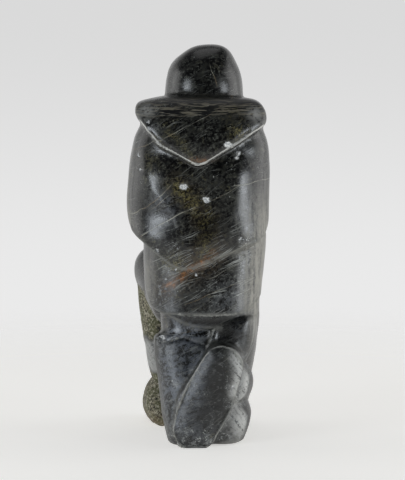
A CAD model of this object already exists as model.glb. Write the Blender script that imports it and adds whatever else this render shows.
# %% [markdown]
# # A hunter carved from soapstone
# One block of dark green-black stone, filed and sanded into a kneeling figure and polished with
# wax. The solid gives the form in flat facets. This notebook turns it into carved stone: it
# softens the facets, cuts the fine relief, and gives the stone its veins, scuffs and polish.
# Lengths are written in millimetres, and positions on the back as (across, height).

import math

import bmesh
import bpy
import numpy as np
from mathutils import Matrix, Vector, kdtree, noise


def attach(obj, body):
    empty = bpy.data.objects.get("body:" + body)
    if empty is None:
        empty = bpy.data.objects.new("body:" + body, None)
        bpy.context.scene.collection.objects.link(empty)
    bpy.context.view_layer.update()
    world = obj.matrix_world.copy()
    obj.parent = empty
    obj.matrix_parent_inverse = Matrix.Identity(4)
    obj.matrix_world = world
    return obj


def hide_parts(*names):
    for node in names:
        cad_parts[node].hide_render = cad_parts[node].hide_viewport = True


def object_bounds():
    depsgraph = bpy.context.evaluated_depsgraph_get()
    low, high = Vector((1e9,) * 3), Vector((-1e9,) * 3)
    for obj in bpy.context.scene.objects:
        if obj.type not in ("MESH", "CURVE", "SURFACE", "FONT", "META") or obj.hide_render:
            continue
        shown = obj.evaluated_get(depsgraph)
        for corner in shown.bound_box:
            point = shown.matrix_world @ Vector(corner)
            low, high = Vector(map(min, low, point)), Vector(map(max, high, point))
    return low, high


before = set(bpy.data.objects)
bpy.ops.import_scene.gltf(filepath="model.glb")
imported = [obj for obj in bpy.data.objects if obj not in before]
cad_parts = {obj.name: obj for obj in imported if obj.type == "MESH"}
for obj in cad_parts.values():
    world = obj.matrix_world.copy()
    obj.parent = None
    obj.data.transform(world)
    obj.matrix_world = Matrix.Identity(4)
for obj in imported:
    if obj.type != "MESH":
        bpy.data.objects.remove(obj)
cad_low, cad_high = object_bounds()
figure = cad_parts["hunter_figure"]

HEIGHT_MM = 272.4  # the height that the lengths below are written for
MM = (cad_high.z - cad_low.z) / HEIGHT_MM
print("one millimetre of the carving is", round(MM * 1000, 4), "mm in the frame")

# %% [markdown]
# ## From facets to stone
# The solid is nearly ten thousand flat triangles. A carver's file leaves no facets like that,
# only broad soft surfaces that meet in creases. A Subdivision Surface would round the creases too,
# and would need tidy squares to start from. So the creases are found first, as the edges where two
# faces meet at a sharp angle. Then a Remesh modifier rebuilds the surface from small even squares,
# and those are relaxed everywhere except near a crease.

# %% Join the loose triangles
def merged_copy(node):
    """A bmesh of the node's triangles with their shared corners joined."""
    mesh = bmesh.new()
    mesh.from_mesh(node.data)
    bmesh.ops.remove_doubles(mesh, verts=mesh.verts, dist=0.01 * MM)
    mesh.normal_update()
    return mesh


block = merged_copy(figure)
print(len(block.faces), "flat faces meet at", len(block.edges), "edges")

# %% Tell creases from other edges
SHARP = math.radians(38)  # an outward edge counts as a ridge above this angle
FOLDED = math.radians(14)  # an inward edge counts as a valley above this angle


def points_along(edge, spacing):
    """Evenly spaced points on an edge."""
    start, end = (v.co for v in edge.verts)
    pieces = max(1, math.ceil((end - start).length / spacing))
    return [start.lerp(end, (i + 0.5) / pieces) for i in range(pieces)]


NOTCH_START, NOTCH_END = -27, 8.5  # across the back
NOTCH_FLOOR, NOTCH_TOP = 69.5, 78.5


def under_seat(point):
    """Whether a point lies in the notch under the seat, which is filled and cut anew below."""
    across, deep, height = point / MM
    return NOTCH_START < across < NOTCH_END and deep < -38 and NOTCH_FLOOR < height < NOTCH_TOP


def is_bevel(edge):
    """Whether an edge is only a bevel's, with both of its faces towards the back."""
    return all(face.normal.y < -0.5 for face in edge.link_faces)


print("a ridge turns by over", round(math.degrees(SHARP)), "degrees")

# %% Find the creases
SPACING = 0.3 * MM
ridges, valleys = [], []
for edge in block.edges:
    angle = edge.calc_face_angle_signed() if edge.is_manifold else 0
    if angle > SHARP and not is_bevel(edge):
        ridges += points_along(edge, SPACING)
    elif angle < -FOLDED:
        valleys += points_along(edge, SPACING)
ridges = [point for point in ridges if not under_seat(point)]
valleys = [point for point in valleys if not under_seat(point)]
print(len(ridges), "points on ridges and", len(valleys), "in valleys")

# %% Rebuild the surface from even squares
carving = bpy.data.objects.new("hunter_carving", bpy.data.meshes.new("hunter_carving"))
bpy.context.scene.collection.objects.link(carving)
block.to_mesh(carving.data)
block.free()
remesh = carving.modifiers.new("even_squares", "REMESH")
remesh.mode = "VOXEL"
remesh.voxel_size = 1.2 * MM
evaluated = bpy.context.evaluated_depsgraph_get()
skin = bpy.data.meshes.new_from_object(carving.evaluated_get(evaluated))
carving.modifiers.clear()
carving.data = skin
print(len(skin.vertices), "points,", len(skin.polygons), "squares")

# %% [markdown]
# The skin now has about a hundred thousand points. Each sum on them could be a Python loop, but that
# is slow, so they are read into rows of numbers and numpy works on all rows at once. A point's
# neighbours are the points at the far ends of its edges.

# %% Read the points and their neighbours
count = len(skin.vertices)
place = np.empty(count * 3)
skin.vertices.foreach_get("co", place)
place = place.reshape(-1, 3) / MM
x, y, z = place.T  # these share the memory of place, so they follow every later cut
pairs = np.empty(len(skin.edges) * 2, dtype=np.int64)
skin.edges.foreach_get("vertices", pairs)
one, other = pairs.reshape(-1, 2).T
neighbours = np.bincount(one, minlength=count) + np.bincount(other, minlength=count)
print("a point has", round(float(neighbours.mean()), 2), "neighbours on average")


# %% Measure how far each point is from a crease
def nearest(points):
    """The nearest of some points to each point of the skin, and how far off it is."""
    tree = kdtree.KDTree(len(points))
    for i, point in enumerate(points):
        tree.insert(point, i)
    tree.balance()
    found = [tree.find(Vector(p) * MM) for p in place]
    return np.array([f[0] for f in found]) / MM, np.array([f[2] for f in found]) / MM


ridge_point, to_ridge = nearest(ridges)
valley_point, to_valley = nearest(valleys)
print("on a ridge:", int((to_ridge < 1).sum()), "points; in a valley:", int((to_valley < 1).sum()))

# %% [markdown]
# The even squares cross a crease at an angle and leave steps like a saw's teeth. So the points
# beside a crease are moved on to it, and then evened out among themselves, like beads on a thread.

# %% Draw the creases clean
ON_CREASE = 0.7


def threaded(on_crease, passes):
    """Even out the points of a crease among themselves."""
    linked = on_crease[one] & on_crease[other]
    a, b = one[linked], other[linked]
    beads = np.bincount(a, minlength=count) + np.bincount(b, minlength=count)
    free = beads > 1
    for _ in range(passes):
        total = np.stack([np.bincount(a, weights=c[b], minlength=count)
                          + np.bincount(b, weights=c[a], minlength=count) for c in place.T], axis=1)
        place[free] += 0.5 * (total[free] / beads[free, None] - place[free])


on_ridge = (to_ridge < ON_CREASE) & (to_ridge <= to_valley)
on_valley = (to_valley < ON_CREASE) & ~on_ridge
place[on_ridge] = ridge_point[on_ridge]
place[on_valley] = valley_point[on_valley]
threaded(on_ridge, 24)
threaded(on_valley, 14)
print(int(on_ridge.sum()), "points threaded on ridges and", int(on_valley.sum()), "in valleys")

# %% [markdown]
# Under the seat the solid has a notch with a ragged floor. On the stone it is a fine crease, too
# fine for the solid's facets. It could be squeezed narrower, but that bends the stone around it. So
# the notch is filled flush here, from the seat's face above to the prop's face below, and a crease
# is cut in its place further on.

# %% Fill the notch under the seat
seat_depth = np.interp(x, [-22, -17, -12, -6, 0, 9], [-41, -45.5, -48.3, -49.6, -49.8, -49.4])
prop_depth = np.interp(x, [-26, -24, -18, -11, 4, 8], [-41, -44.8, -48.7, -51, -51, -50])
filled = seat_depth + (prop_depth - seat_depth) * np.clip((77 - z) / 5.2, 0, 1)
in_notch = (x < NOTCH_END) & (y < -36) & (z > NOTCH_FLOOR + 1) & (z < NOTCH_TOP - 0.5) & (y > filled)
place[in_notch, 1] = filled[in_notch]
print(int(in_notch.sum()), "points filled flush")

# %% [markdown]
# Relaxing moves each point half way to its neighbours' mean, over and over, which wears the facets
# away. It also shrinks a round form a little. What it took away is itself relaxed and put back,
# which returns the bulk and leaves out the facets. The face and the hands are small, so they are
# held more firmly than the broad coat.


# %% Words for soft masks and for relaxing
def mean_beside(rows):
    """Each point's row replaced by the mean of its neighbours' rows."""
    columns = [
        np.bincount(one, weights=column[other], minlength=count)
        + np.bincount(other, weights=column[one], minlength=count)
        for column in rows.T
    ]
    return np.stack(columns, axis=1) / neighbours[:, None]


def relaxed(rows, freedom, passes):
    """The rows after they move half way to their neighbours' mean, many times over."""
    rows = rows.copy()
    for _ in range(passes):
        rows += (mean_beside(rows) - rows) * (0.5 * freedom)[:, None]
    return rows


def between(low, high, values):
    """0 below low, 1 above high and a smooth step between."""
    t = np.clip((values - low) / (high - low), 0, 1)
    return t * t * (3 - 2 * t)


print("half way up the step is", float(between(0, 1, np.array([0.5]))[0]))

# %% Say how freely each point may move
face_zone = between(4, 12, y) * between(196, 204, z)
hand_zone = between(24, 32, y) * between(140, 146, z) * (1 - between(182, 188, z))
held = 1 - 0.9 * np.maximum(face_zone, hand_zone)
hood_corners = between(33, 37, np.abs(x)) * between(204, 210, z)
freedom = np.minimum(between(0.4, 6, to_ridge), between(0.4, 5, to_valley)) * held
freedom = np.maximum(freedom, 0.6 * hood_corners)
print("points that may move freely:", int((freedom > 0.9).sum()))

# %% Relax the facets but keep the creases
MOST_MOVE = 1.2
softened = relaxed(place, freedom, 90)
softened += relaxed(place - softened, freedom, 50)
softened = relaxed(softened, np.ones(count), 3)
moved = softened - place
length = np.linalg.norm(moved, axis=1)
place += moved * np.minimum(1, MOST_MOVE / np.maximum(length, 1e-6))[:, None]
print("largest move", round(float(length.max()), 2), "mm, held to", MOST_MOVE)

# %% [markdown]
# ## Fine relief
# The carver's last cuts are too small for the solid's facets. Each could be modelled as a tool and
# taken away with a Boolean, but that leaves hard edges that need relaxing again. Here a cut presses
# the points in along the surface's own direction, by a depth that falls off with distance from a
# line on the back, so a cut is one short line of numbers.

# %% Tools for cutting
BACK = -40  # the back's surfaces lie beyond this depth


def set_points():
    """Put the rows of numbers back into the skin."""
    skin.vertices.foreach_set("co", (place * MM).ravel())
    skin.update()


def outward():
    """The direction that each point of the skin faces."""
    set_points()
    facing = np.empty(count * 3)
    skin.vertices.foreach_get("normal", facing)
    return facing.reshape(-1, 3)


def cut(depth):
    """Press the skin in by a depth for each point, or out where it is below 0."""
    place[:] -= outward() * np.asarray(depth)[:, None]


facing_back = between(0.15, 0.6, -outward()[:, 1]) * (1 - between(BACK - 6, BACK, y))
print(int((facing_back > 0.5).sum()), "points on the back")


# %% Distance from a line, and a round swelling beside it
def from_line(points):
    """How far each point lies from a line on the back, seen square on."""
    on_back = place[:, [0, 2]]
    away = np.full(count, 1e3)
    for start, end in zip(points, points[1:]):
        start, end = np.array(start), np.array(end)
        run = end - start
        t = np.clip((on_back - start) @ run / (run @ run), 0, 1)
        away = np.minimum(away, np.linalg.norm(on_back - start - t[:, None] * run, axis=1))
    return away


def swell(line, reach):
    """0 on a line, rising as a round form does to 1 at a reach from it."""
    return 1 - np.clip(1 - from_line(line) / reach, 0, 1) ** 2


middle_line = [(0, 0), (0, HEIGHT_MM)]
print("the skin reaches", round(float(from_line(middle_line).max()), 1), "mm from its middle line")

# %% [markdown]
# The upper arms are two long round forms on the back, divided from the skirt by a line that runs
# down and inward from each elbow. The solid has the lines. The roundness between them is what
# catches the light, so it is raised here, and is fullest about 25 mm from each line. Then the
# arms' outer parts are turned forward, towards the sides.

# %% The round of the upper arms
LEFT_ARM = [(-48, 196), (-50, 176), (-49.5, 163), (-46.5, 151), (-39.5, 141), (-30.4, 133.2),
            (-20.4, 124), (-12, 120.5)]
RIGHT_ARM = [(49.5, 196), (50, 176), (49.5, 160), (46.5, 146), (36.5, 138.6), (25.5, 132.4),
             (12, 126.6)]
ARM_ROUND = 2.6
arms = facing_back * between(-58.9, -57.5, -np.abs(y)) * (1 - between(182, 200, z))
arms *= (z > 114 - x * 0.7) * (z > 121 + x * 0.42)
cut(-ARM_ROUND * swell(LEFT_ARM, 27) * swell(RIGHT_ARM, 24) * arms)
print("the arms swell over", int((arms > 0.5).sum()), "points")


# %% The turn of the arms towards the sides
def turned(run, slope, start, deepest):
    """A surface that starts to turn away at 0 and levels out again at its deepest."""
    run = np.clip(run, 0, None)
    return deepest * (1 - np.exp(-slope * run**2 / (run + start) / deepest))


LEFT_DEEPEST, RIGHT_DEEPEST = 6, 5
turning = between(20, 40, -y) * (np.abs(y) < 60) * between(141, 160, z) * (1 - between(190, 206, z))
left_turn = np.interp(z, [150, 160, 174, 187, 200], [-9, -16, -28, -34, -36])
right_turn = np.interp(z, [140, 190], [20, 27])
place[:, 1] += turning * (turned(left_turn - x, 0.34, 6, LEFT_DEEPEST)
                          + turned(x - right_turn, 0.3, 8, RIGHT_DEEPEST))
print("the arms turn forward by up to", LEFT_DEEPEST, "mm")

# %% [markdown]
# He sits on the sole of his own boot, which stands upright behind him. A worn sole is a shallow
# pillow: nearly flat in the middle and rounded off towards its rim. The solid has it with one
# straight bevel. So a flat sheet is fitted through its middle by least squares, and the rim is let
# fall away from that sheet along a parabola.

# %% The outline of the sole
SOLE = [(7.3, 67.8), (12.2, 69.9), (17.8, 70.3), (24, 67.1), (28.9, 60.8), (31, 53.1), (30.3, 45.3),
        (27.6, 39.7), (24.8, 34.1), (22.7, 27), (17.8, 17.9), (14.4, 12.2), (10, 0), (-9, 0),
        (-14.9, 4.4), (-17, 12.9), (-14.6, 24.2), (-9.4, 37.6), (-3.8, 48.9), (1.8, 59.3), (7.3, 67.8)]
BEHIND = -58  # only the sole reaches further back than this


def within(outline):
    """Whether each point of the skin lies inside a closed outline, seen square on."""
    inside = np.zeros(count, dtype=bool)
    for (x0, z0), (x1, z1) in zip(outline, outline[1:]):
        crossed = (z0 > z) != (z1 > z)
        inside ^= crossed & (x < x0 + (z - z0) * (x1 - x0) / ((z1 - z0) or 1))
    return inside


to_rim = from_line(SOLE)
on_sole = within(SOLE) & (facing_back > 0.05) & (y < BEHIND)
print(int(on_sole.sum()), "points on the sole")

# %% The round of the sole
RIM_FALL, RIM_WIDTH = 4.2, 11
flat = on_sole & (to_rim > 8)
terms = np.stack([np.ones(count), x, z], axis=1)
sheet, *_ = np.linalg.lstsq(terms[flat], y[flat], rcond=None)
pillow = terms @ sheet + RIM_FALL * np.clip(1 - to_rim / RIM_WIDTH, 0, 1) ** 2
place[on_sole, 1] = pillow[on_sole]
print("the sole leans back by", round(math.degrees(math.atan(-sheet[2])), 1), "degrees")

# %% The ridge down the prop
PROP_RIDGE = [(-14, 70), (-13.8, 56), (-11.7, 40), (-14.5, 24), (-15, 10)]
on_prop = facing_back * (y > BEHIND - 1) * (1 - between(52, 66, z))
cut(-0.9 * np.exp(-((from_line(PROP_RIDGE) / 9) ** 2)) * on_prop)
print("the ridge is", PROP_RIDGE[0][1] - PROP_RIDGE[-1][1], "mm long")

# %% [markdown]
# The crown is not a true dome: it slopes more gently on the left and is fullest on the right. Then
# the whole skin gets the slight unevenness that a hand and a file leave, in waves of two sizes. A
# Displace modifier could do that, but not hold back from the face and the hands without a group.


# %% The lean of the head
def spot(across, height, wide, high):
    """1 at a position and fading round it, seen square on."""
    return np.exp(-(((x - across) / wide) ** 2) - ((z - height) / high) ** 2)


lean = spot(-12, 267, 10, 9) - 1.8 * spot(16, 268, 9, 6) + spot(26, 257, 9, 8)
cut(between(236, 250, z) * lean)
print("the crown stands at", round(float(z.max()), 1), "mm")


# %% The hand's unevenness
def grain(size, seed=0):
    """Smooth noise from about -1 to 1 with features of one size."""
    shift = Vector((seed * 17.3, seed * 5.9, seed * 11.1))
    return np.array([noise.noise(Vector(p) / size + shift) for p in place])


waves = 0.45 * grain(30) + 0.14 * grain(10, 1)
cut(-waves * held)
print("the hand wavers by", round(float(np.abs(waves).max()), 2), "mm at most")

# %% [markdown]
# The hood lies on his back as a pointed shield that stands a little proud of the coat. Its edge is
# bevelled, so that it casts a dark line below and shows a rubbed one along the edge itself. The
# bevel is a cut that is deepest at the edge, on the hood's side only.

# %% The bevel round the hood
HOOD_EDGE = [(-41, 218), (-36, 213.8), (-29.5, 207.3), (-21.1, 201.2), (-10.8, 195.1), (-4.2, 191.8),
             (0.5, 190.6), (6.1, 191.8), (11.7, 195.1), (20.1, 200.7), (28.6, 207.3), (36.1, 212),
             (43.6, 214.3)]
HOOD_BEVEL = 1.5
to_hood_edge = from_line(HOOD_EDGE)
edge_height = np.interp(x, [p[0] for p in HOOD_EDGE], [p[1] for p in HOOD_EDGE])
on_hood = facing_back * (z > edge_height) * (1 - between(-61, -59.5, y))
cut(HOOD_BEVEL * (1 - between(0.4, 4.4, to_hood_edge)) * on_hood)
print("the hood's edge is bevelled", HOOD_BEVEL, "mm deep")

# %% [markdown]
# Below the coat some stone is left under the seat as a prop. It stands a little proud as a ledge,
# and a crease tells it from the seat. A cleft parts the seat from the boot, and a shallow line
# crosses the sole at the ball of the foot. The grooves are cuts with a rounded floor.

# %% The ledge and the creases under the seat
SEAT_CREASE = [(-26, 70), (-21, 70.5), (-12, 73.7), (-3, 71), (5.7, 67.8)]
CLEFT = [(10.9, 79.7), (8.6, 73), (5.3, 65.9)]
BALL_LINE = [(-9, 29.2), (2, 30.4), (14, 30), (25, 31)]
LEDGE = 1.4


def groove(line, depth, width):
    """Cut a groove with a rounded floor along a line on the back."""
    cut(depth * np.exp(-((from_line(line) / width) ** 2)) * facing_back)


crease_height = np.interp(x, [p[0] for p in SEAT_CREASE], [p[1] for p in SEAT_CREASE])
under = np.clip(crease_height - z, 0, None)
ledge = np.exp(-under / 4) * (z < crease_height) * (1 - between(-20, -8, x)) * (z > 60) * (y < -36)
cut(-LEDGE * ledge * facing_back)
groove(SEAT_CREASE, 1.3, 1.2)
groove(CLEFT, 1.2, 1.5)
groove(BALL_LINE, 0.35, 1.4)
print("a ledge and 3 grooves are cut")

# %% [markdown]
# Soft stone chips when it is knocked. The larger chips are placed by hand as (across, height,
# size), a little wider than they are high, and each is a shallow pan with a steep rim.

# %% Chips knocked out of the polish
CHIPS = [(-9.3, 176.5, 2.6), (5.4, 167.8, 2.6), (20.1, 204.6, 2.4), (27.8, 198.6, 1.7),
         (26.4, 195.6, 1.4), (-33.2, 219.9, 1.3), (-17.9, 203.2, 1.0), (-40, 196.6, 1.1),
         (-40.4, 199.4, 0.9), (-38.7, 187.9, 1.2), (-14.7, 120.3, 1.1), (-1.3, 116.7, 1.2),
         (-14, 134.9, 0.9), (-24.4, 72.9, 1.9), (23.7, 42.7, 1.5), (22.6, 38.6, 1.1),
         (-21.5, 113.4, 1.0), (-27.4, 133.4, 1.1), (30.6, 128.6, 1.3), (29.2, 141, 1.3)]
CHIP_DEPTH, CHIP_WIDTH, NO_CHIP = 0.5, 1.35, 6.0
chip_distance = np.full(count, NO_CHIP)
for across, height, size in CHIPS:
    away = np.hypot((x - across) / CHIP_WIDTH, z - height) - size
    chip_distance = np.minimum(chip_distance, np.where(facing_back > 0.1, away, NO_CHIP))
cut(CHIP_DEPTH * (1 - between(-1.2, 0.6, chip_distance)))
print(len(CHIPS), "chips")

# %% [markdown]
# The trouser and the boot of the raised leg were pecked with a point and never sanded, to set fur
# and skin apart from the smooth coat. Noise presses the surface in at two sizes. The border of the
# pecked part is ragged, because the heights that bound it waver with noise too.

# %% The pecked trouser and boot
ragged = z + 2.5 * grain(5, 4)
leg = (1 - between(-17, -11, x)) * between(4, 10, y)
trouser = leg * between(62, 66, ragged) * (1 - between(98, 102, ragged))
boot = leg * (1 - between(37, 41, ragged))
pecked = np.maximum(trouser, boot)
cut(0.42 * pecked * np.abs(grain(2.4, 2)) + 0.25 * pecked * grain(5, 3))
print(int((pecked > 0.5).sum()), "points are pecked")

# %% [markdown]
# ## Where each finish lies
# The stone is one piece, but hands, files and years have left it different from place to place.
# A material can't know where the hood ends, so each finish gets an attribute: a number at every
# point, which the material reads by name. Distances are kept as they are, in millimetres, since
# a distance stays sharp when it is stretched over a square. A picture painted on the surface would
# do it too, but would need an unwrapped skin and a file of its own.

# %% Distances from the creases and the edges
FAR = 8
THIGH_EDGE = [(38.8, 86), (38.4, 78), (36.8, 68), (34, 58)]
HEM_LINE = [(-14, 89.8), (-6, 89.0), (8, 88.8), (22, 89.4), (32, 91)]
PALE_LINES = [THIGH_EDGE, CLEFT, SEAT_CREASE[:3], HEM_LINE]
set_points()
beside_sole = on_sole | (facing_back > 0.3) & (y < BEHIND) & (z < 74)
to_pale_line = np.minimum.reduce([from_line(line) for line in PALE_LINES])
finishes = {
    "to_ridge": np.minimum(to_ridge, FAR),
    "to_valley": np.minimum(to_valley, FAR),
    "to_rim": np.where(beside_sole, np.minimum(to_rim, FAR), FAR),
    "to_pale_line": np.where(facing_back > 0.02, np.minimum(to_pale_line, FAR), FAR),
    "to_hood_edge": np.where(facing_back > 0.05, np.minimum(to_hood_edge, FAR), FAR),
    "chip_distance": chip_distance,
    "pecked": pecked,
    "rasped": facing_back * between(221, 227, z) * (1 - between(238, 242, z)),
}
print(len(finishes), "finishes follow the carving")

# %% [markdown]
# Iron rusts along one band where the skirt meets the arm, and stains the stone round it. Chlorite
# shows olive in a trail down the back and in patches on the hood.

# %% Where rust, stain and olive gather
RUST_BAND = [(-22, 107), (-14.7, 112.5), (-5.3, 120), (4.8, 126.5), (10.1, 132)]
OLIVE_TRAIL = [(5.1, 130), (7.1, 146), (4.1, 158), (-4, 166), (-15, 177)]
HOOD_TRAIL = [(-22, 219), (-20, 213), (-11, 206), (-5, 199)]


def near(line, reach):
    """1 on a line on the back and fading beside it."""
    return np.exp(-((from_line(line) / reach) ** 2))


toe_rust = 0.6 * boot * (1 - between(4, 14, z))
finishes["rust"] = (near(RUST_BAND, 2.1) + 0.5 * spot(1, 194.5, 7, 2.2)) * facing_back + toe_rust
finishes["stained"] = np.minimum(1, near(RUST_BAND, 9) + 0.6 * near(OLIVE_TRAIL, 9)) * facing_back
chlorite = near(OLIVE_TRAIL, 5) + 0.5 * near(HOOD_TRAIL, 2.6) + spot(27, 213, 6, 6)
chlorite += 0.7 * spot(24, 228, 7, 5) + 0.4 * spot(-31, 192, 5, 10)
chlorite += 0.5 * spot(24, 256, 5, 8) + 0.6 * spot(-16, 124, 9, 7)
finishes["olive"] = np.minimum(1, chlorite) * facing_back
print("olive covers", int((finishes["olive"] > 0.5).sum()), "points")

# %% [markdown]
# Where the polish has worn off, stone dust has settled and the surface is grey or nearly white: on
# the lumps beside the sole, its margin, the ankle, the hood's two corners and round the base. Where
# the wax is thick, the stone is at its blackest.

# %% Where the stone is pale, worn, dusty or waxed
SOLE_MARGIN = [(25.5, 64), (28.4, 55), (27.5, 46), (24.6, 38)]
lumps = (1.4 * spot(38, 43, 8, 13) + 1.15 * spot(31, 19, 9, 14)) * ~on_sole
margin = near(SOLE_MARGIN, 4.5) * (y < BEHIND)
ankle = 0.45 * leg * between(38, 43, ragged) * (1 - between(58, 64, ragged))
finishes["pale"] = np.minimum(1, lumps + margin) * facing_back + ankle
base = (1 - between(66, 76, z)) * between(20, 30, -y)
finishes["worn"] = base + 1.6 * spot(-24, 106, 9, 16) * facing_back
corners = spot(-34.5, 228.4, 5, 4.6) + spot(38.6, 225.6, 4.4, 4.6)
finishes["scuffed"] = np.minimum(1, corners) * facing_back
haze = spot(-12, 80, 15, 8) + spot(-20, 46, 12, 26) + 1.6 * spot(-4, 48, 11, 24)
haze += near([(-12, 18), (-3, 42), (6, 60)], 4) + 0.4 * spot(2, 12, 16, 10) + 0.5 * spot(26, 100, 18, 12)
haze += 0.6 * spot(-22, 163, 9, 10) + 0.4 * spot(30, 76, 8, 12)
finishes["hazy"] = np.minimum(1, haze) * facing_back
wax = near([(-8, 86.5), (4, 84.5), (12, 84), (30, 87)], 3.4) + 0.8 * spot(23, 76, 9, 8)
wax += 0.9 * spot(8, 148, 9, 16) + 1.3 * spot(12, 44, 10, 26) * on_sole + 0.7 * spot(2, 22, 14, 10)
finishes["waxy"] = np.minimum(1, wax) * facing_back
print("dust dulls", int((finishes["hazy"] > 0.5).sum()), "points, and wax darkens",
      int((finishes["waxy"] > 0.5).sum()))

# %% Where it is flecked, scratched and rubbed
knocks = 1.2 * spot(33, 134, 7, 15) + 0.6 * spot(22, 106, 20, 14) + spot(16, 40, 14, 26)
knocks += 0.7 * spot(-30, 232, 10, 5) + spot(0, 8, 22, 10)
finishes["flecked"] = np.minimum(1, knocks)
scrapes = spot(14, 122, 30, 30) + 0.7 * spot(26, 100, 16, 12) + 0.8 * spot(8, 36, 22, 34)
finishes["scratched"] = np.minimum(1, scrapes + 0.6 * spot(-20, 140, 18, 14)) * facing_back
right_flank = between(0.2, 0.9, outward()[:, 0]) * between(0.35, 0.8, 1 - np.abs(z - 122) / 100)
handled = right_flank + 0.6 * spot(45, 104, 5, 32) + 0.55 * spot(-34, 112, 5, 16)
handled += 0.6 * near([(-49, 192), (-50, 165), (-46, 150)], 3)
finishes["rubbed"] = np.clip(handled, 0, 1) * between(8, 30, -y)
print("hands rubbed", int((finishes["rubbed"] > 0.5).sum()), "points")

# %% Store the finishes and hand the carving over
for name, values in finishes.items():
    skin.attributes.new(name, "FLOAT", "POINT").data.foreach_set("value", values.astype(np.float32))
for polygon in skin.polygons:
    polygon.use_smooth = True
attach(carving, "root")
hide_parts("hunter_figure")
print(len(finishes), "finishes stored")

# %% [markdown]
# ## Shader maths in Python
# A node tree is easier to read as arithmetic. The class below holds one socket: its operators add
# Math nodes, and its one method adds any other node. The nodes could be joined by hand in the
# editor, but there are hundreds, and more than an eye can follow.


# %% A socket that can be used in sums
class Wire:
    def __init__(self, tree, socket=None):
        self.tree, self.socket = tree, socket

    def node(self, kind, settings=None, inputs=None, output=0):
        """Add a node, set it up, feed its inputs and return one of its outputs."""
        made = self.tree.nodes.new(kind)
        for name, value in (settings or {}).items():
            setattr(made, name, value)
        for name, value in (inputs or {}).items():
            if isinstance(value, Wire):
                self.tree.links.new(value.socket, made.inputs[name])
            else:
                made.inputs[name].default_value = value
        return Wire(self.tree, made.outputs[output] if made.outputs else None)

    def maths(self, operation, *values):
        return self.node("ShaderNodeMath", {"operation": operation}, dict(enumerate(values)))

    def __add__(self, value):
        return self.maths("ADD", self, value)

    def __sub__(self, value):
        return self.maths("SUBTRACT", self, value)

    def __rsub__(self, value):
        return self.maths("SUBTRACT", value, self)

    def __mul__(self, value):
        return self.maths("MULTIPLY", self, value)

    def __abs__(self):
        return self.maths("ABSOLUTE", self)

    __radd__, __rmul__ = __add__, __mul__


# %% [markdown]
# The words below are the vocabulary for one stone. They all draw on `bench`, the tree that is being
# built. Patterns read Object coordinates, turned into millimetres, so they pass through the block
# as they do in real stone and need no unwrapping.

# %% Lay out the bench
stone = bpy.data.materials.new("waxed_soapstone")
stone.use_nodes = True
stone.node_tree.nodes.clear()
bench = Wire(stone.node_tree)
in_metres = bench.node("ShaderNodeTexCoord", output="Object")
in_mm = bench.node("ShaderNodeVectorMath", {"operation": "SCALE"}, {0: in_metres, "Scale": 1 / MM})
print("the bench holds", len(stone.node_tree.nodes), "nodes")


# %% Words for colours and masks
def tone(red, green, blue):
    """A colour given the way a screen shows it, from 0 to 255."""
    return tuple(((c / 255 + 0.055) / 1.055) ** 2.4 for c in (red, green, blue)) + (1,)


def step(value, low, high):
    """0 below low, 1 above high and a smooth step between."""
    ends = {"Value": value, "From Min": low, "From Max": high}
    return bench.node("ShaderNodeMapRange", {"interpolation_type": "SMOOTHSTEP"}, ends, "Result")


def most(first, second):
    """The greater of two values."""
    return bench.maths("MAXIMUM", first, second)


def least(first, second):
    """The lesser of two values."""
    return bench.maths("MINIMUM", first, second)


def mixed(factor, first, second):
    """One colour laid over another by a factor."""
    return bench.node("ShaderNodeMix", {"data_type": "RGBA"}, {0: factor, 6: first, 7: second}, 2)


def finish_of(name):
    """A finish that was stored on the skin."""
    return bench.node("ShaderNodeAttribute", {"attribute_name": name}, output="Fac")


print("a middle grey is", round(tone(128, 128, 128)[0], 3), "as light")


# %% Words for noise and directions
def clouds(size, detail=3, at=None, rough=0.55):
    """Soft noise from 0 to 1 with features of a size in millimetres."""
    inputs = {"Vector": at or in_mm, "Scale": 1 / size, "Detail": detail, "Roughness": rough}
    return bench.node("ShaderNodeTexNoise", None, inputs, "Fac")


def shaken(size, reach):
    """The coordinates moved to and fro by noise, with features of a size, by a reach."""
    shake = bench.node("ShaderNodeTexNoise", None, {"Vector": in_mm, "Scale": 1 / size, "Detail": 2},
                       "Color")
    centred = bench.node("ShaderNodeVectorMath", {"operation": "SUBTRACT"},
                         {0: shake, 1: (0.5, 0.5, 0.5)})
    return bench.node("ShaderNodeVectorMath", {"operation": "MULTIPLY_ADD"},
                      {0: centred, 1: (reach, reach, reach), 2: in_mm})


wavering = shaken(14, 3)


def drawn_out(angle, long, deep, short):
    """Coordinates stretched along a direction that rises to the right by an angle."""
    return bench.node("ShaderNodeMapping", {"vector_type": "TEXTURE"},
                      {"Vector": wavering, "Rotation": (0, -math.radians(angle), 0),
                       "Scale": (long, deep, short)})


def dot(vector, direction):
    """How far a vector reaches along a direction."""
    return bench.node("ShaderNodeVectorMath", {"operation": "DOT_PRODUCT"},
                      {0: vector, 1: tuple(direction)}, "Value")


print("the bench holds", len(stone.node_tree.nodes), "nodes")

# %% [markdown]
# ## The body of the stone
# Soapstone is talc and chlorite pressed together: nearly black where it is waxed and dense, green
# or olive where chlorite shows, rusty where iron does. One noise would give even spots like paint,
# so four sizes are added up before the sum is cut into dark and light.

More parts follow.
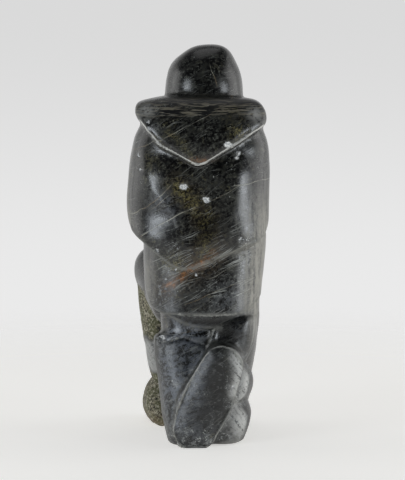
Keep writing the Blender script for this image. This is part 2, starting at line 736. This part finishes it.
# %% The clouded black
large, small, dust = clouds(24, 4), clouds(2.2, 3), clouds(1.0, 2)
middle = clouds(1, 4, drawn_out(28, 7, 7, 3.6))
BLACK, SMOKE, MOSS, HAZE = tone(2, 2, 2), tone(37, 38, 36), tone(46, 45, 35), tone(112, 114, 106)
cloudy = step(large * 0.25 + middle * 0.3 + small * 0.25 + dust * 0.2, 0.44, 0.56)
colour = mixed(cloudy, BLACK, SMOKE)
colour = mixed(step(small * 0.6 + middle * 0.4, 0.46, 0.68) * 0.6, colour, MOSS)
speckle = step(dust * 0.6 + small * 0.4, 0.52, 0.64) * step(clouds(13, 3), 0.34, 0.6)
colour = mixed(speckle * 0.45, colour, HAZE)
print("the black is clouded with 4 sizes of noise")

# %% Stain, settled dust, olive and rust
STAIN, DUST, WORN = tone(54, 42, 26), tone(92, 97, 105), tone(112, 115, 116)
OLIVE, OCHRE, RUST, ORANGE = tone(80, 76, 48), tone(124, 116, 76), tone(88, 60, 32), tone(150, 96, 44)
colour = mixed(finish_of("stained") * step(small, 0.36, 0.56) * 0.8, colour, STAIN)
bloom = step(small * 0.4 + middle * 0.4 + dust * 0.2, 0.42, 0.56)
colour = mixed(finish_of("hazy") * bloom * 0.85, colour, DUST)
mottle = step(clouds(4.5, 5, None, 0.75), 0.52, 0.6) * finish_of("worn")
colour = mixed(mottle * 0.6, colour, WORN)
grainy = dust * 0.5 + small * 0.5
olive = finish_of("olive") * step(grainy, 0.42, 0.56) * step(clouds(5, 3), 0.34, 0.54)
loose_olive = step(clouds(11, 5), 0.56, 0.7) * step(small, 0.5, 0.64)
colour = mixed(olive * 0.85 + loose_olive * 0.35, colour, mixed(step(dust, 0.48, 0.62), OLIVE, OCHRE))
rust = finish_of("rust") * step(middle * 0.6 + small * 0.4, 0.38, 0.54)
colour = mixed(rust * 0.9, colour, mixed(step(clouds(3.5, 4), 0.46, 0.62), RUST, ORANGE))
print("the body takes", len(stone.node_tree.nodes), "nodes so far")

# %% [markdown]
# ## Veins, scratches and rasp marks
# A vein is a thin sheet of paler stone through the block, so it is drawn as a plane: the distance
# from the plane, made to waver with noise, is dark except within its width. It then runs round the
# sides by itself, as a line painted on the back would not.

# %% Veins
BACK_DEPTH = -57


def vein(start, end, dip, width):
    """A sheet that meets the back along a line and dips into the block."""
    a, b = (Vector((across, BACK_DEPTH, height)) for across, height in (start, end))
    along = (b - a).normalized()
    through = along.cross(Vector((0, 1, dip))).normalized()
    off = abs(dot(wavering, through) - a.dot(through))
    where = dot(in_mm, along) - a.dot(along)
    run = (b - a).length
    return (1 - step(off, width * 0.3, width)) * step(where, -4, 3) * (1 - step(where, run - 3, run + 4))


broken = step(clouds(5, 4), 0.34, 0.62)
# start, end, dip, width, strength
PALE_VEINS = [((-42, 199.5), (28, 237), 0.1, 0.32, 0.75), ((-39, 144.6), (-1, 162.6), -0.3, 0.4, 1.0),
              ((-4, 161), (29, 178), 0.2, 0.3, 0.6), ((24, 177), (52, 181.4), 0.0, 0.36, 0.8),
              ((-41, 153), (-18, 179), 0.5, 0.3, 0.8), ((-31.5, 161.5), (-19, 170.6), -0.2, 0.26, 0.7),
              ((8, 257), (12.6, 245), 0.0, 0.34, 0.8), ((-8, 97.6), (36, 115.5), -0.2, 0.3, 0.8),
              ((7, 113.6), (32, 124.6), 0.3, 0.3, 0.6), ((2, 123), (36, 138.4), 0.1, 0.4, 0.8),
              ((16, 231.5), (30, 236.6), 0.0, 0.3, 0.7), ((-60, 60), (60, 92), 0.4, 0.3, 0.3)]
VEIN, RUSTY_VEIN = tone(164, 162, 148), tone(132, 114, 86)
veins = None
for start, end, dip, width, strength in PALE_VEINS:
    one_vein = vein(start, end, dip, width) * strength
    veins = one_vein if veins is None else most(veins, one_vein)
veins = veins * (0.25 + broken * 0.75)
colour = mixed(veins * 0.85, colour, mixed(step(large, 0.48, 0.6), VEIN, RUSTY_VEIN))
print(len(PALE_VEINS), "veins")

# %% [markdown]
# Scratches run up to the right in three slightly different directions, and rasp marks run straight
# across the upper band of the hood. Both are noise drawn out along one direction and cut off high,
# so that only its crests remain as lines. Single scratches could be laid as curves, but hundreds
# would be needed.

# %% Scratches and rasp marks
SCRATCH, RASP = tone(156, 158, 152), tone(122, 116, 100)
fine = clouds(1, 1, drawn_out(25, 40, 34, 0.75), 0.4)
finer = clouds(1, 1, drawn_out(34, 20, 24, 0.6), 0.4)
flatter = clouds(1, 1, drawn_out(12, 22, 24, 0.65), 0.4)
gathered = step(clouds(9, 3), 0.36, 0.54)
strong = finish_of("scratched") * (step(fine, 0.64, 0.70) + step(finer, 0.64, 0.72) * 0.8
                                   + step(flatter, 0.66, 0.74) * 0.6) * gathered
faint = (step(finer, 0.66, 0.76) + step(flatter, 0.68, 0.78)) * gathered * 0.35
scratches = least(strong + faint, 1)
STROKE_LONG, STROKE_WIDE = 13, 0.85
strokes = clouds(1, 2, drawn_out(0, STROKE_LONG, 30, STROKE_WIDE))
rasped = finish_of("rasped")
rasp_marks = rasped * step(strokes, 0.51, 0.58)
rasp_shadows = rasped * (1 - step(strokes, 0.44, 0.52))
colour = mixed(scratches * 0.8, colour, SCRATCH)
colour = mixed(rasp_shadows * 0.9, colour, BLACK)
colour = mixed(rasp_marks * 0.85, colour, RASP)
print("a rasp stroke is about", STROKE_WIDE, "mm wide and", STROKE_LONG, "mm long")


# %% Flecks
def flecks(size, low, share):
    """Ragged grains of a size, fewer as the two limits rise."""
    return step(clouds(size, 1, None, 0.3), low, low + 0.05) * step(clouds(size * 5, 2), share, share + 0.1)


FLECK = tone(196, 199, 194)
dashes = step(clouds(1, 2, drawn_out(8, 3.4, 3, 0.7), 0.4), 0.65, 0.7)
many = most(flecks(0.9, 0.63, 0.48), dashes * step(clouds(6, 3), 0.46, 0.56)) * finish_of("flecked")
few = flecks(1.0, 0.70, 0.58)
colour = mixed(many * 0.8 + few * 0.6, colour, FLECK)
print("flecks and dashes are laid on")

# %% [markdown]
# ## Wear, dust and chips
# Hands rub the wax off the ridges, so they turn pale and dull, and stone dust stays in the folds.
# The Pointiness output of a Geometry node could find the ridges, but it can't tell one ridge from
# another. The stored distances can, and noise added to them makes the edge of the wear ragged.

# %% Masks for the wear on ridges, folds and rims
uneven = (small - 0.5) * 4 + (dust - 0.5) * 2
worn_ridge = 1 - step(finish_of("to_ridge") + uneven, 0.5, 1.9)
under_hood = 1 - step(finish_of("to_hood_edge"), 4, 7)
dusty_fold = 1 - step(finish_of("to_valley") + uneven * 1.5, 0.1, 1.2)
dusty_fold = dusty_fold * (1 - under_hood) * (1 - rust)
thin_line = 1 - step(finish_of("to_ridge") + uneven * 0.25, 0.5, 1.7)
hood_line = (1 - step(finish_of("to_hood_edge"), 3.2, 4.2)) * thin_line
rim_line = 1 - step(finish_of("to_rim") + uneven * 0.5, 0.3, 1.3)
rim_line = most(rim_line, (1 - step(finish_of("to_pale_line") + uneven * 0.8, 0.1, 0.9)) * 0.7)
print("4 masks follow the creases")

# %% Masks for rubbed, filed and scuffed places
file_marks = clouds(1, 4, drawn_out(-52, 16, 14, 1.5))
pale = least(finish_of("pale"), 1) * step(file_marks * 0.45 + small * 0.3 + dust * 0.25, 0.34, 0.52)
upright_marks = clouds(1, 4, drawn_out(88, 22, 9, 1.6))
rubbed = finish_of("rubbed") * step(upright_marks * 0.7 + small * 0.3, 0.3, 0.62)
scuffed = finish_of("scuffed") * step(middle * 0.4 + small * 0.6, 0.36, 0.52)
chipped = 1 - step(finish_of("chip_distance") + uneven, -1.0, -0.2)
pecking = finish_of("pecked")
print("5 masks follow the hand")

# %% Lay the wear on, then the wax
RUBBED, RIDGE, FOLD = tone(152, 149, 139), tone(128, 128, 122), tone(112, 112, 104)
PALE = tone(200, 200, 196)
RIM, HOOD_LINE, SCUFF = tone(166, 166, 160), tone(196, 195, 189), tone(146, 146, 142)
colour = mixed(rubbed * 0.85, colour, RUBBED)
colour = mixed(worn_ridge * 0.5, colour, RIDGE)
colour = mixed(dusty_fold * 0.35, colour, FOLD)
colour = mixed(pale * 0.92, colour, PALE)
colour = mixed(rim_line * 0.85, colour, RIM)
colour = mixed(hood_line * 0.95, colour, HOOD_LINE)
colour = mixed(scuffed * 0.95, colour, SCUFF)
colour = mixed(finish_of("waxy") * (0.45 + small * 0.7), colour, BLACK)
print("wear and wax are laid on")

# %% [markdown]
# Where the leg was pecked, each blow has crushed a grain: dark pits between pale and olive crumbs.
# A chip shows the raw stone, which is nearly white.

# %% Pecked and chipped stone
PIT, CRUMB, MOSSY, BRIGHT = tone(22, 21, 16), tone(130, 124, 102), tone(82, 84, 52), tone(176, 172, 156)
CHIP_SHADE, CHIP_LIGHT = tone(168, 170, 172), tone(232, 232, 228)
grit = clouds(1.7, 4, None, 0.75)
grains = mixed(step(grit, 0.42, 0.52), PIT, CRUMB)
grains = mixed(step(clouds(7, 3), 0.44, 0.6) * 0.6, grains, MOSSY)
grains = mixed(step(grit, 0.55, 0.62), grains, BRIGHT)
colour = mixed(pecking * 0.95, colour, mixed(rust * 0.7, grains, RUST))
colour = mixed(chipped, colour, mixed(step(dust, 0.42, 0.58), CHIP_SHADE, CHIP_LIGHT))
print("the leg is pecked and the chips are bare")

# %% [markdown]
# Wax makes stone shine, and wear makes it dull again. So the roughness starts low, clouds a little
# with the stone, and each kind of wear adds its share. The bump only carries relief that is finer
# than the squares of the mesh.

# %% How dull each finish is
dull = worn_ridge * 0.25 + hood_line * 0.3 + rubbed * 0.22 + scuffed * 0.4 + chipped * 0.6
dull = dull + pecking * 0.55 + rasped * 0.2 + scratches * 0.12 + dusty_fold * 0.2 + veins * 0.1
dull = dull + pale * 0.2 + rim_line * 0.2 + finish_of("worn") * 0.16
SLEEK, BARE = 0.1, 0.92
roughness = least(SLEEK + middle * 0.2 + small * 0.16 + dull, BARE)
print("the roughness runs from", SLEEK, "to", BARE)

# %% Relief too fine for the mesh, and the finished shader
WAXED_STONE = 1.54  # index of refraction
fine_relief = small * 0.05 + dust * 0.03 - scratches * 0.05 - rasp_marks * 0.10 - chipped * 0.15
fine_relief = fine_relief + rasped * strokes * 0.16 + pecking * grit * 0.9 - veins * 0.03
fine_relief = fine_relief + (fine + finer) * 0.03
bumps = bench.node("ShaderNodeBump", None, {"Strength": 1.0, "Distance": MM, "Height": fine_relief})
surface = bench.node("ShaderNodeBsdfPrincipled", None,
                     {"Base Color": colour, "Roughness": roughness, "Normal": bumps, "IOR": WAXED_STONE})
bench.node("ShaderNodeOutputMaterial", None, {"Surface": surface})
carving.data.materials.clear()
carving.data.materials.append(stone)
print(len(stone.node_tree.nodes), "nodes in the stone")

# %% [markdown]
# ## The camera
# It stands behind the hunter and looks slightly down, from far off with a long lens, which keeps
# the figure's uprights parallel. A near camera with a wide lens would make the hood loom.

# %% Camera
SENSOR = 36
VISIBLE_HEIGHT = 333.6  # how much the view takes in, at the figure
DISTANCE = 1300
ELEVATION = math.radians(5)
AIM = Vector((3.1, -13.0, 136.9)) * MM
camera_data = bpy.data.cameras.new("camera")
camera = bpy.data.objects.new("camera", camera_data)
bpy.context.scene.collection.objects.link(camera)
bpy.context.scene.camera = camera
camera_data.sensor_width = SENSOR
camera_data.lens = SENSOR * DISTANCE / VISIBLE_HEIGHT
camera_data.clip_start = 0.01
back = Vector((0, -math.cos(ELEVATION), math.sin(ELEVATION)))
camera.location = AIM + back * DISTANCE * MM
camera.rotation_euler = back.to_track_quat("Z", "Y").to_euler()
print("the lens is", round(camera_data.lens), "mm long")

# %% [markdown]
# ## The studio
# Polished stone is mostly reflection, so the room matters as much as the lamps. An even white room
# would turn black stone grey. So the camera sees a pale wall, while the stone feels a room that is
# pale beyond the figure and below it and dim on the camera's side and overhead.

# %% The room
WALL_LOW, WALL_HIGH = tone(234, 234, 234), tone(218, 218, 218)
DIM, BEYOND, CEILING, GROUND = tone(32, 33, 35), tone(232, 232, 232), tone(60, 61, 64), tone(205, 205, 204)
room = bpy.data.worlds.new("studio")
bpy.context.scene.world = room
bpy.context.scene.view_settings.view_transform = "Standard"
room.use_nodes = True
room.node_tree.nodes.clear()
bench = Wire(room.node_tree)
toward = bench.node("ShaderNodeTexCoord", output="Generated")
parts = bench.node("ShaderNodeSeparateXYZ", None, {0: toward}).socket.node
upward, forward = (Wire(room.node_tree, parts.outputs[axis]) for axis in "ZY")
wall = mixed(step(upward, -0.12, 0.04), WALL_LOW, WALL_HIGH)
felt = mixed(step(forward, -0.4, 0.6), DIM, BEYOND)
felt = mixed(step(upward, 0.2, 0.7), felt, CEILING)
felt = mixed(step(upward, -0.14, -0.5), felt, GROUND)
looked_at = bench.node("ShaderNodeLightPath", output="Is Camera Ray")
background = bench.node("ShaderNodeBackground", None,
                        {"Color": mixed(looked_at, felt, wall), "Strength": 1.0})
bench.node("ShaderNodeOutputWorld", None, {"Surface": background})
print(len(room.node_tree.nodes), "nodes in the room")

# %% [markdown]
# Two window lamps stand low on either side of the camera, where the upright faces of the arms
# mirror them. Broad boxes at the sides draw a soft line down each flank, and a weak one above
# rounds off the crown.


# %% The lamps
def softbox(name, azimuth, elevation, distance, size, watts, tint=(1, 1, 1)):
    """A soft lamp that faces the figure. Azimuth 0 is the camera's side and 90 the right."""
    lamp = bpy.data.lights.new(name, "AREA")
    lamp.shape = "RECTANGLE"
    lamp.size, lamp.size_y = size
    lamp.energy = watts
    lamp.color = tint
    box = bpy.data.objects.new(name, lamp)
    bpy.context.scene.collection.objects.link(box)
    a, e = math.radians(azimuth), math.radians(elevation)
    out = Vector((math.sin(a) * math.cos(e), -math.cos(a) * math.cos(e), math.sin(e)))
    box.location = AIM + out * distance
    box.rotation_euler = out.to_track_quat("Z", "Y").to_euler()
    print(name, "gives", watts, "W")


WINDOW, SIDE, CANOPY = (0.42, 0.5), (0.8, 1.0), (0.9, 0.9)  # metres across and high
softbox("left_window", -50, 0, 1.2, WINDOW, 6.5, (0.88, 0.94, 1.0))
softbox("right_window", 62, -5, 1.2, WINDOW, 6, (0.9, 0.95, 1.0))
softbox("left_side", -100, 10, 1.2, SIDE, 3)
softbox("right_side", 100, 10, 1.2, SIDE, 4)
softbox("overhead", 180, 70, 1.4, CANOPY, 1.5)

# %% [markdown]
# The floor is a sheet of pale paper. A plane would end in a hard horizon, so this is a round sheet
# that turns clear towards its edge and lets the wall show through.

# %% The sheet of paper
floor_mesh = bmesh.new()
bmesh.ops.create_circle(floor_mesh, cap_ends=True, segments=96, radius=1.1)
floor = bpy.data.objects.new("floor", bpy.data.meshes.new("floor"))
floor_mesh.to_mesh(floor.data)
floor_mesh.free()
bpy.context.scene.collection.objects.link(floor)
print("the floor is", round(floor.dimensions.x, 2), "m across")

# %% The paper's finish
PAPER, PAPER_GLOW = tone(232, 231, 228), tone(255, 254, 251)
paper = bpy.data.materials.new("pale_paper")
paper.use_nodes = True
paper.node_tree.nodes.clear()
bench = Wire(paper.node_tree)
on_floor = bench.node("ShaderNodeTexCoord", output="Object")
from_middle = bench.node("ShaderNodeVectorMath", {"operation": "LENGTH"}, {0: on_floor}, "Value")
sheet_of_paper = bench.node("ShaderNodeBsdfPrincipled", None,
                            {"Base Color": PAPER, "Roughness": 0.9, "Specular IOR Level": 0.1,
                             "Emission Color": PAPER_GLOW, "Emission Strength": 0.53})
clear = bench.node("ShaderNodeBsdfTransparent")
faded = bench.node("ShaderNodeMixShader", None,
                   {0: step(from_middle, 0.22, 0.75), 1: sheet_of_paper, 2: clear})
bench.node("ShaderNodeOutputMaterial", None, {"Surface": faded})
floor.data.materials.append(paper)
print(len(paper.node_tree.nodes), "nodes in the paper")
